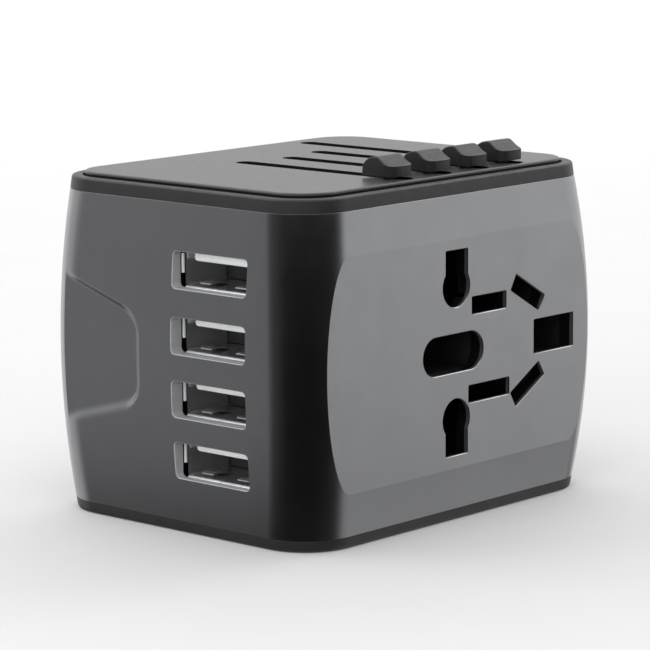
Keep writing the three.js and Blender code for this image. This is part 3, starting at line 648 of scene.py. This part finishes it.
def port_cutter(i, z):
    """A port's opening. Its chamfered mouth follows the bulge of the side."""

    def outline(grow):
        size = (PORT_WIDTH + 2 * grow, PORT_HEIGHT + 2 * grow)
        return rounded(PORT_Y, z, *size, PORT_RADIUS + grow, 8)

    mouth = [(0.5, 0.5 + PORT_EDGE), (-PORT_EDGE, 0)]
    loops = [[(-side_x(b) - out, a, b) for a, b in outline(grow)] for out, grow in mouth]
    loops.append([(-CAVITY_X + 1, a, b) for a, b in outline(0)])
    return loft(f"cut_port_{i}", loops, indices=[3, 3])


def shell_room(i, z):
    """The pocket in the wall that a port's metal shell sits in. Its walls are near-black, partly painted
    shade of the gap.
    """
    x = (PORT_FLOOR_X, -CAVITY_X + 1)
    y = (PORT_Y - PORT_WIDTH / 2 - ROOM_SIDE, PORT_Y + PORT_WIDTH / 2 + ROOM_SIDE)
    height = (z - PORT_HEIGHT / 2 - ROOM_RISE, z + PORT_HEIGHT / 2 + ROOM_RISE)
    return block(f"cut_room_{i}", x, y, height, index=1)


def port_heights():
    return [sum(node_box(f"usb_shell_{i}")[k].z for k in (0, 1)) / 2 for i in (1, 2, 3, 4)]


def mark_flats(obj):
    """Keeps the edge crisp where a flat face meets the barrel."""
    work = bmesh.new()
    work.from_mesh(obj.data)
    for edge in work.edges:
        if len(edge.link_faces) == 2:
            flat = [abs(face.normal.y) > 0.99999 for face in edge.link_faces]
            if flat[0] != flat[1]:
                edge.smooth = False
    work.to_mesh(obj.data)
    work.free()


def cover_outline(grow):
    size = (COVER["width"] + 2 * grow, COVER["height"] + 2 * grow)
    return rounded(0, MID_Z, *size, COVER["radius"] + grow)


def body_sleeve():
    loops = []
    for z, inset in sleeve_rows():
        right = sleeve_half(z, inset)
        left = [(-x, y) for x, y in reversed(right)]
        loops.append([(x, y, z) for x, y in right + left])
    sleeve = loft("body_sleeve_visual", loops)
    cavity = prism_z(
        "cut_cavity",
        lambda inset: rounded(0, 0, 2 * CAVITY_X, 2 * CAVITY_Y, CAVITY_RADIUS),
        [(0, SLEEVE_BOTTOM - 1), (0, SLEEVE_TOP + 1)],
        [1],
    )
    wide, tall = (-40, 40), (-1, 60)  # past the whole body
    gap = COVER["gap"]
    opening = prism_y(
        "cut_cover",
        cover_outline,
        [(CAVITY_Y - 1, gap), (FACE_Y - FACE_EDGE, gap), (FACE_Y + OVERCUT, gap + FACE_EDGE + OVERCUT)],
        [1, 0],
    )
    cutters = [
        cavity,
        block("cut_front", wide, (-40, -FACE_Y), tall),
        block("cut_rear", wide, (FACE_Y, 40), tall),
        opening,
        *socket_cutters(),
    ]
    for i, z in enumerate(port_heights()):
        cutters += [port_cutter(i, z), shell_room(i, z)]
    # Index 1 is near-black, partly painted shade, on the cavity, the cover's opening, the rooms behind the
    # socket holes and the pockets round the port shells
    parts = [materials[key] for key in ("graphite_shell", "black_and_painted_shade", "hole_wall", "port_wall")]
    carve(sleeve, cutters, parts)
    smooth(sleeve, 20)
    mark_flats(sleeve)
    finish_piece(sleeve, "housing", parts, ["body_sleeve"])


# ---- Trim bands, plate and cover -----------------------------------------------------------------


def band(inset):
    radius = max(CORNER_RADIUS - inset, 0.5)
    return rounded(0, 0, 2 * (BAND_X - inset), 2 * (BAND_Y - inset), radius, 24)


def top_bezel():
    groove = PLATE_INSET - PLATE_GROOVE
    profile = [
        (0, SLEEVE_TOP),
        (BAND_DRAFT, BAND_TOP),
        (groove, BAND_TOP),
        (groove, plate_low.z - BEZEL_GAP),
        (PLATE_INSET + BEZEL_LEDGE, plate_low.z - BEZEL_GAP),
        (PLATE_INSET + BEZEL_LEDGE, bezel_low.z),
        (BEZEL_INNER, bezel_low.z),
        (BEZEL_INNER, SLEEVE_TOP),
    ]
    loops = softened(profile, [0.08, 0.4, 0.14, 0, 0, 0, 0, 0], 5)
    ring = loft("top_bezel_visual", [[(x, y, z) for x, y in band(i)] for i, z in loops], closed=True)
    finish_piece(smooth(ring), "housing", [materials["black_trim"]], ["top_bezel"])


def knob_names():
    return list(SLOT_REARS)


def knob_x(name):
    low, high = node_box(f"{name}_slider_knob")
    return (low.x + high.x) / 2


def slot_cutter(name):
    middle = (SLOT_REARS[name] + SLOT_FRONT) / 2
    length = SLOT_REARS[name] - SLOT_FRONT
    top = plate_high.z

    def outline(grow):
        width = SLOT_WIDTH + 2 * grow
        return rounded(knob_x(name), middle, width, length + 2 * grow, SLOT_WIDTH / 2 - 0.01 + grow, 8)

    profile = [(0, plate_low.z - 1), (0, top - SLOT_EDGE), (OVERCUT + SLOT_EDGE, top + OVERCUT)]
    return prism_z(f"cut_slot_{name}", outline, profile, [1, 1])


def top_plate():
    path = [(0, plate_low.z), (0, plate_high.z), (1.2, plate_high.z)]
    profile = softened(path, [0, 0.36, 0], 6)
    sides = [1] + [0] * (len(profile) - 2)
    plate = prism_z("top_plate_visual", lambda inset: band(PLATE_INSET + inset), profile, sides)
    # The slot walls take the near-black: black plastic under the grey top, darkened further as painted shade
    # of the narrow slots
    parts = [materials["dark_plate"], materials["black_and_painted_shade"]]
    carve(plate, [slot_cutter(name) for name in knob_names()], parts)
    finish_piece(smooth(plate, 30), "housing", parts, ["top_plate"])


def bottom_cap():
    rim_inset = BAND_X - CAVITY_X + RIM_GAP
    path = [
        (CAP_FLAT, 0),
        (BAND_DRAFT, 0),
        (0, SLEEVE_BOTTOM),
        (rim_inset, SLEEVE_BOTTOM),
        (rim_inset, cap_high.z),
        (rim_inset + RIM_WALL, cap_high.z),
        (rim_inset + RIM_WALL, SLEEVE_BOTTOM),
        (CAP_INNER, SLEEVE_BOTTOM),
    ]
    profile = softened(path, [0, 0.5, 0.08, 0, 0.1, 0.1, 0, 0])
    cap = prism_z("bottom_cap_visual", band, profile)
    finish_piece(smooth(cap), "housing", [materials["black_trim"]], ["bottom_cap"])


# ---- Plug pins -----------------------------------------------------------------------------------


def pin_nodes():
    """Every pin node with its kind."""
    for key in PINS:
        kind = "pin" if key == "eu" else "blade"
        for level in ("upper", "lower"):
            yield key, f"{key}_{kind}_{level}"
    yield "uk", "uk_earth_blade"


def pin_shape(key, node):
    """A pin's cross-section in (x, z) as a function of how much it is grown."""
    low, high = node_box(node)
    x, z = (low.x + high.x) / 2, (low.z + high.z) / 2
    if "radius" in PINS[key]:
        return lambda g: circle(x, z, PINS[key]["radius"] + g, 40)
    if node == "uk_earth_blade":
        width, height = high.x - low.x, high.z - low.z
    else:
        width, height = PINS[key]["size"]
    turn = -PINS[key].get("slant", 0) * (1 if z > MID_Z else -1)

    def outline(g):
        radius = max(PIN_CORNER + g, 0.05)
        return turned(rounded(x, z, width + 2 * g, height + 2 * g, radius, 3), x, z, turn)

    return outline


def plug_pin(key, node):
    """A pin: insulated except over its bare tip, or bare metal all along, with a rounded nose."""
    low, high = node_box(node)
    shape = pin_shape(key, node)
    bare = None if node == "uk_earth_blade" else PINS[key]["bare"]
    round_pin = "radius" in PINS[key]
    nose = 2.2 if round_pin else 1.5
    pinch = 1.3 if round_pin else 0.45
    profile, indices = [], []
    if bare:
        step = high.y - bare
        profile += [(low.y, 0), (step - 0.15, 0), (step, -SLEEVE_STEP)]
        indices += [1, 1]
    else:
        profile.append((low.y, 0))
    slack = -SLEEVE_STEP if bare else 0
    for i in range(7):
        a = math.radians(90 * i / 6)
        profile.append((high.y - nose + nose * math.sin(a), slack - pinch * (1 - math.cos(a))))
    indices += [0] * (len(profile) - 1 - len(indices))
    pin = prism_y(f"{node}_visual", shape, profile, indices)
    parts = [materials["pin_nickel"], materials["pin_sleeve"]]
    finish_piece(smooth(pin, 35), f"{key}_slider", parts, [node])


def flared(start, clearance):
    """The profile of a hole through the pin face, from start to a chamfered mouth."""
    return [
        (start, clearance),
        (FACE_Y - FACE_EDGE, clearance),
        (FACE_Y + OVERCUT, clearance + FACE_EDGE + OVERCUT),
    ]


def screw_place(i):
    """The middle and radius of a screw's head, and its first and last place along Y."""
    low, high = node_box(f"cover_screw_{i}")
    return (low.x + high.x) / 2, (low.z + high.z) / 2, (high.x - low.x) / 2, low.y, high.y


def rear_cover():
    flange_front = cover_low.y
    face = prism_y(
        "rear_cover_visual",
        cover_outline,
        [(flange_front, 0), (FACE_Y - FACE_EDGE, 0), (FACE_Y, -FACE_EDGE)],
    )
    width, height = cover_high.x - cover_low.x, cover_high.z - cover_low.z
    flange = prism_y(
        "cover_flange",
        lambda grow: rounded(0, MID_Z, width, height, FLANGE_RADIUS),
        [(flange_front, 0), (CAVITY_Y - FLANGE_GAP, 0)],
    )
    combine(face, [flange], "UNION")
    cutters = []
    for key, node in pin_nodes():
        hole = flared(flange_front - 1, PIN_CLEARANCE)
        cutters.append(prism_y(f"cut_{node}", pin_shape(key, node), hole))
    for i in SCREWS:
        x, z, radius = screw_place(i)[:3]
        well = flared(WELL_FLOOR_Y, WELL_CLEARANCE)
        shank = [(flange_front - 1, SHANK_HOLE["radius"]), (SHANK_HOLE["end"], SHANK_HOLE["radius"])]
        cutters.append(prism_y(f"cut_well_{i}", lambda g, x=x, z=z, r=radius: circle(x, z, r + g), well))
        cutters.append(prism_y(f"cut_shank_{i}", lambda r, x=x, z=z: circle(x, z, r), shank))
    combine(face, cutters)
    finish_piece(smooth(face, 30), "housing", [materials["black_trim"]], ["rear_cover"])


def cover_screws():
    long, short = CROSS["long"], CROSS["short"]
    for i in SCREWS:
        name = f"cover_screw_{i}"
        x, z, radius, start, end = screw_place(i)
        head = end - HEAD_HEIGHT
        dome = end - DOME_HEIGHT
        profile = [(start, SHANK_RADIUS), (head, SHANK_RADIUS), (head, radius), (dome, radius)]
        for k in range(1, 7):
            a = math.radians(DOME_ANGLE * k / 6)
            rise = DOME_HEIGHT * math.sin(a) / math.sin(math.radians(DOME_ANGLE))
            profile.append((dome + rise, radius * (0.35 + 0.65 * math.cos(a))))
        screw = prism_y(f"{name}_visual", lambda r, x=x, z=z: circle(x, z, r, 40), profile)
        cut = [(end - CROSS["depth"], -CROSS["draft"]), (end + 1, CROSS["draft"])]
        cross = []
        for k, (w, h) in enumerate(((long, short), (short, long))):

            def bar(g, w=w, h=h, x=x, z=z, spin=SCREW_SPIN * i):
                return turned(rounded(x, z, w + 2 * g, h + 2 * g, CROSS["corner"], 2), x, z, spin)

            cross.append(prism_y(f"cut_cross_{k}", bar, cut))
        combine(screw, cross)
        finish_piece(smooth(screw, 30), "housing", [materials["screw_steel"]], [name])


# ---- USB ports -----------------------------------------------------------------------------------


def lip_strip(start, end, across, outward, front_x, spread, flare):
    """Two loops of (x, along, out) for a flared lip of sheet metal on one side of a port's mouth.

    start and end are places along the side, across is its distance from the port's middle, and
    outward is +1 or -1. front_x is the lip's foremost place, spread is how far it turns outwards,
    and flare is how far back the turn starts.
    """
    turns = 7

    def curve(x, out, depth, width):
        angles = [math.radians(90 * i / turns) for i in range(turns + 1)]
        return [(x + depth * (1 - math.sin(a)), out + width * (1 - math.cos(a))) for a in angles]

    inner = curve(front_x, across, flare, spread)
    outer = curve(front_x + SHEET, across + SHEET, flare - SHEET, spread - SHEET)
    ring = inner + outer[::-1]
    return [[(x, place, outward * b) for x, b in ring] for place in (start, end)]


def usb_shell(number, z):
    low, high = node_box(f"usb_shell_{number}")
    half_y, half_z = SHELL_WIDTH / 2, SHELL_HEIGHT / 2
    tube_front = low.x + SHELL_SETBACK

    def around(grow):
        return rounded(PORT_Y, z, 2 * (half_y + grow), 2 * (half_z + grow), SHELL_RADIUS + grow, 5)

    rows = [(tube_front, SHEET), (high.x, SHEET), (high.x, 0), (tube_front, 0)]
    loops = [[(x, y, h) for y, h in around(grow)] for x, grow in rows]
    shell = loft(f"usb_shell_{number}_visual", loops, closed=True, indices=[0, 0, 0, 2])
    lips = []
    # The bottom lip is in two halves, where the sheet's ends meet; the top lip is in one
    long_lips = [(-1, -LIP_HALF, -LIP_SEAM), (-1, LIP_SEAM, LIP_HALF), (1, -LIP_HALF, LIP_HALF)]
    for side, start, end in long_lips:
        strips = lip_strip(start, end, half_z, side, low.x, **LIP_LONG)
        strips = [[(x, PORT_Y + a, z + b) for x, a, b in loop] for loop in strips]
        lips.append(loft("lip", strips, indices=[1]))
    for side in (-1, 1):
        strips = lip_strip(*LIP_SHORT_ENDS, half_y + LIP_SHORT_OUT, side, low.x, **LIP_SHORT)
        strips = [[(x, PORT_Y + b, z + a) for x, a, b in loop] for loop in strips]
        lips.append(loft("lip", strips, indices=[1]))
    lips += usb_springs(z, low.x)
    join(shell, lips)
    parts = [materials[key] for key in ("shell_steel", "lip_steel", "hole_wall")]
    finish_piece(smooth(shell, 35), "housing", parts, [f"usb_shell_{number}"])


def usb_springs(z, front):
    """Four spring tabs that press on the plug: each bends into the opening and back to the sheet."""
    springs = []
    half = SHELL_HEIGHT / 2
    for side in (-1, 1):
        rise = 1.0 if side < 0 else 0.35
        for centre in SPRING_CENTRES:
            loops = []
            for width in (-SPRING_HALF, SPRING_HALF):
                y = PORT_Y + centre + width
                upper = [(front + x, y, z + side * (half - rise * r)) for x, r in SPRING_PATH]
                lower = [(x, y, h + side * SPRING_SHEET) for x, y, h in reversed(upper)]
                loops.append(upper + lower)
            springs.append(loft("spring", loops))
    return springs


def join(obj, others):
    """Adds other meshes' shells to obj's mesh."""
    work = bmesh.new()
    work.from_mesh(obj.data)
    for other in others:
        work.from_mesh(other.data)
        bpy.data.objects.remove(other)
    work.to_mesh(obj.data)
    work.free()


def usb_tongue(number, z):
    low, high = node_box(f"usb_tongue_{number}")
    bottom, top = z + TONGUE["low"], z + TONGUE["high"]

    def outline(grow):
        size = (TONGUE["width"] + 2 * grow, top - bottom + 2 * grow)
        return rounded(PORT_Y, (bottom + top) / 2, *size, TONGUE["radius"] + grow, 5)

    profile = [(low.x, -0.3), (low.x + 0.09, -0.1), (low.x + 0.3, 0), (high.x - 1, 0)]
    loops = [[(x, y, h) for y, h in outline(grow)] for x, grow in profile]
    tongue = loft(f"usb_tongue_{number}_visual", loops)
    half_width, half_height = TONGUE_BASE["half_width"], TONGUE_BASE["half_height"]
    base = block(
        "tongue_base",
        (TONGUE_BASE["front"], high.x),
        (PORT_Y - half_width, PORT_Y + half_width),
        (z - half_height, z + half_height),
        index=2,
    )
    parts = [materials[key] for key in ("white_plastic", "contact_gold", "hole_wall")]
    carve(tongue, [base], parts, "UNION")
    strips = []
    reach = (low.x + CONTACT["start"], CONTACT["rear"])
    heights = (bottom - CONTACT["below"], bottom + CONTACT["above"])
    for centre in CONTACT_CENTRES:
        y = (PORT_Y + centre - CONTACT["half_width"], PORT_Y + centre + CONTACT["half_width"])
        strips.append(block("contact", reach, y, heights, index=1))
    join(tongue, strips)
    finish_piece(smooth(tongue, 30), "housing", parts, [f"usb_tongue_{number}"])


# ---- Knobs ---------------------------------------------------------------------------------------


def bezier(p, count):
    """Points on a cubic curve, without its first point."""
    points = []
    for i in range(1, count + 1):
        t = i / count
        s = 1 - t
        share = (s**3, 3 * s * s * t, 3 * s * t * t, t**3)
        points.append(tuple(sum(share[k] * p[k][j] for k in range(4)) for j in (0, 1)))
    return points


def knob_profile(rear, front):
    """A knob's side view in (y, z): a steep back, a crest and a long slope down to the front lip."""
    k = KNOBS
    crest = (k["crest_y"], k["crest"])
    back = [
        (rear, k["shoulder"]),
        (rear - 0.1, k["shoulder"] + 0.9),
        (k["crest_y"] + 1.3, k["crest"]),
        crest,
    ]
    slope = [
        crest,
        (k["crest_y"] - 0.9, k["crest"] - 0.05),
        (front + 1.9, k["lip"] + 0.02),
        (front, k["lip"]),
    ]
    points = [(rear, k["bottom"]), (rear, k["shoulder"])]
    points += bezier(back, 12)
    points += bezier(slope, 20)
    points.append((front, k["bottom"]))
    return points


def rounding(radius, depth):
    """How far a rounded edge stands back at a distance from the face beside it."""
    return radius - math.sqrt(radius**2 - max(radius - depth, 0) ** 2)


def shrunk(profile, front, half, depth):
    """The profile at a distance inside a side face, moved in by the rounding that is left there."""
    inset = rounding(KNOBS["edge"], depth)
    bow = KNOBS["bow"] - math.sqrt(KNOBS["bow"] ** 2 - (half - depth) ** 2)
    limit = front + rounding(KNOBS["corner"], depth) + bow
    points = []
    for i, (y, z) in enumerate(profile):
        before, after = profile[i - 1], profile[(i + 1) % len(profile)]
        along = Vector((after[0] - before[0], after[1] - before[1])).normalized()
        rise = 0 if z == KNOBS["bottom"] else inset * along.x
        points.append((max(y - inset * along.y, limit), z + rise))
    return points


def slider_knob(name):
    low, high = node_box(f"{name}_slider_knob")
    profile = knob_profile(high.y, low.y)
    half = (high.x - low.x) / 2
    steps = [KNOBS["corner"] * (1 - math.cos(math.radians(90 * i / 10))) for i in range(10)]
    steps += [KNOBS["corner"] + (half - KNOBS["corner"]) * i / 8 for i in range(9)]
    places = [(low.x + d, d) for d in steps] + [(high.x - d, d) for d in reversed(steps[:-1])]
    loops = [[(x, y, z) for y, z in shrunk(profile, low.y, half, depth)] for x, depth in places]
    knob = loft(f"{name}_slider_knob_visual", loops)
    x = (low.x + high.x) / 2
    neck = block("neck", (x - NECK_HALF, x + NECK_HALF), NECK_Y, (low.z, KNOBS["bottom"] + NECK_OVERLAP))
    combine(knob, [neck], "UNION")
    parts = [materials["knob_black"]]
    finish_piece(smooth(knob, 28), f"{name}_slider", parts, [f"{name}_slider_knob"])


# ---- Carried-over CAD nodes ----------------------------------------------------------------------

KEPT = {
    "nylon": ["socket_carrier", "au_carriage", "eu_carriage", "us_carriage", "uk_carriage"],
    "contact_brass": [
        "line_contact", "neutral_contact", "earth_contact",
        "line_busbar", "neutral_busbar", "earth_busbar",
        "fuse_clip_lower", "fuse_clip_upper",
    ],
    "board_green": ["circuit_board"],
    "ferrite": ["transformer", "inductor"],
    "can_metal": ["capacitor_large", "capacitor_small"],
    "fuse_ceramic": ["fuse"],
}


def dress_kept_nodes():
    for key, nodes in KEPT.items():
        for node in nodes:
            obj = frame["nodes"][node]
            obj.data.materials.clear()
            obj.data.materials.append(materials[key])


# ---- Stage ---------------------------------------------------------------------------------------

# Lengths are in metres from here on
FLOOR_HALF = 12.0
FLOOR_HEIGHT = -0.00003  # just clear of the underside
FADE = (1.2, 2.6)  # distances at which the sheet starts to brighten and is fully white
AMBIENT = 0.009

CAMERA = {
    "yaw": 48.068,
    "pitch": 9.682,
    "roll": -0.351,
    "distance": 0.471985,
    "target": (0.0000074, 0.000242, 0.025371),
    "lens": 177.77,
    "sensor": 36,
}


def camera():
    yaw, pitch, roll = (math.radians(CAMERA[k]) for k in ("yaw", "pitch", "roll"))
    back = Vector((-math.sin(yaw) * math.cos(pitch), -math.cos(yaw) * math.cos(pitch), math.sin(pitch)))
    level = Vector((math.cos(yaw), -math.sin(yaw), 0))
    upright = back.cross(level)
    right = level * math.cos(roll) + upright * math.sin(roll)
    up = upright * math.cos(roll) - level * math.sin(roll)
    data = bpy.data.cameras.new("camera")
    data.lens = CAMERA["lens"]
    data.sensor_width = CAMERA["sensor"]
    data.clip_start, data.clip_end = 0.01, 50
    obj = add_object("camera", data)
    turn = Matrix((right, up, back)).transposed().to_4x4()
    obj.matrix_world = Matrix.Translation(Vector(CAMERA["target"]) + back * CAMERA["distance"]) @ turn
    bpy.context.scene.camera = obj


def panel(name, azimuth, elevation, distance, size, radiance, glossy=True, target=CAMERA["target"]):
    """A soft panel of light that faces its target.

    Azimuth is measured from +X towards +Y, in degrees. A panel that isn't glossy lights the object
    but isn't reflected in it.
    """
    a, e = math.radians(azimuth), math.radians(elevation)
    towards = Vector((math.cos(a) * math.cos(e), math.sin(a) * math.cos(e), math.sin(e)))
    data = bpy.data.lights.new(name, "AREA")
    data.shape = "RECTANGLE"
    data.size, data.size_y = size
    data.energy = radiance * math.pi * size[0] * size[1]
    obj = add_object(name, data)
    obj.location = Vector(target) + towards * distance
    obj.rotation_mode = "QUATERNION"
    obj.rotation_quaternion = towards.to_track_quat("Z", "Y")
    obj.visible_camera = False
    obj.visible_glossy = glossy


def fade_to_white(paper, near, far):
    """The sheet brightens with distance from the object, so that it meets the white backdrop."""
    nodes, links = paper.material.node_tree.nodes, paper.material.node_tree.links
    place = nodes.new("ShaderNodeNewGeometry")
    reach = nodes.new("ShaderNodeVectorMath")
    reach.operation = "LENGTH"
    fade = nodes.new("ShaderNodeMapRange")
    fade.inputs["From Min"].default_value = near
    fade.inputs["From Max"].default_value = far
    links.new(place.outputs["Position"], reach.inputs[0])
    links.new(reach.outputs["Value"], fade.inputs["Value"])
    links.new(fade.outputs["Result"], paper.shader.inputs["Emission Strength"])
    paper.shader.inputs["Emission Color"].default_value = (1, 1, 1, 1)


def floor():
    size, height = FLOOR_HALF, FLOOR_HEIGHT
    mesh = bpy.data.meshes.new("floor")
    corners = [(-size, -size, height), (size, -size, height), (size, size, height), (-size, size, height)]
    mesh.from_pydata(corners, [], [(0, 1, 2, 3)])
    obj = add_object("floor", mesh)
    paper = Surface("floor_paper", Roughness=0.9)
    paper.colour(paper.noise(40), grey(0.63), grey(0.645))
    fade_to_white(paper, *FADE)
    mesh.materials.append(paper.material)
    obj.visible_glossy = False
    obj.visible_diffuse = False
    obj.visible_shadow = False


def world():
    made = bpy.data.worlds.new("studio")
    bpy.context.scene.world = made
    made.use_nodes = True
    nodes, links = made.node_tree.nodes, made.node_tree.links
    ambient = nodes["Background"]
    ambient.inputs["Color"].default_value = (1, 1, 1, 1)
    ambient.inputs["Strength"].default_value = AMBIENT
    backdrop = nodes.new("ShaderNodeBackground")
    backdrop.inputs["Color"].default_value = (1, 1, 1, 1)
    backdrop.inputs["Strength"].default_value = 1.0
    path = nodes.new("ShaderNodeLightPath")
    mix = nodes.new("ShaderNodeMixShader")
    links.new(path.outputs["Is Camera Ray"], mix.inputs["Fac"])
    links.new(ambient.outputs["Background"], mix.inputs[1])
    links.new(backdrop.outputs["Background"], mix.inputs[2])
    links.new(mix.outputs["Shader"], nodes["World Output"].inputs["Surface"])


def lights():
    panel("overhead", 42, 88, 1.2, (3.0, 3.0), 1.2)
    panel("floor_wash", 42, 89, 0.8, (1.6, 1.6), 1.25, glossy=False, target=(1.2, 1.08, 0))
    panel("right_front", -33, 8, 1.2, (1.17, 1.0), 0.95)
    panel("right_low", -35, -36, 1.2, (1.1, 0.8), 0.58)
    panel("front_high", -13, 43, 1.3, (0.6, 0.5), 2.2)
    panel("left_rear", 132.5, -2, 1.2, (0.63, 0.9), 0.37)
    panel("left_soft", 162, -4, 1.2, (0.54, 0.9), 0.05)
    panel("left_high", 128, 40, 1.3, (0.9, 0.6), 2.2)
    panel("rear_left_strip", 98, 2, 1.4, (1.0, 1.8), 0.82)
    panel("backdrop_glow", 38, 10, 1.6, (3.2, 2.0), 1.0)
    panel("under_bounce", 42, -80, 0.8, (1.4, 1.4), 0.35)
    panel("front_fill", -130, 18, 1.0, (1.2, 0.9), 1.4, glossy=False)
    panel("port_fill", 188, 6, 1.0, (0.9, 0.9), 3.0, glossy=False)


def stage():
    camera()
    world()
    lights()
    floor()
    bpy.context.scene.view_settings.view_transform = "Standard"


# ---- Assembly ------------------------------------------------------------------------------------

body_sleeve()
top_bezel()
top_plate()
bottom_cap()
rear_cover()
cover_screws()
for number, height in enumerate(port_heights(), 1):
    usb_shell(number, height)
    usb_tongue(number, height)
for name in knob_names():
    slider_knob(name)
for key, node in pin_nodes():
    plug_pin(key, node)
dress_kept_nodes()
stage()
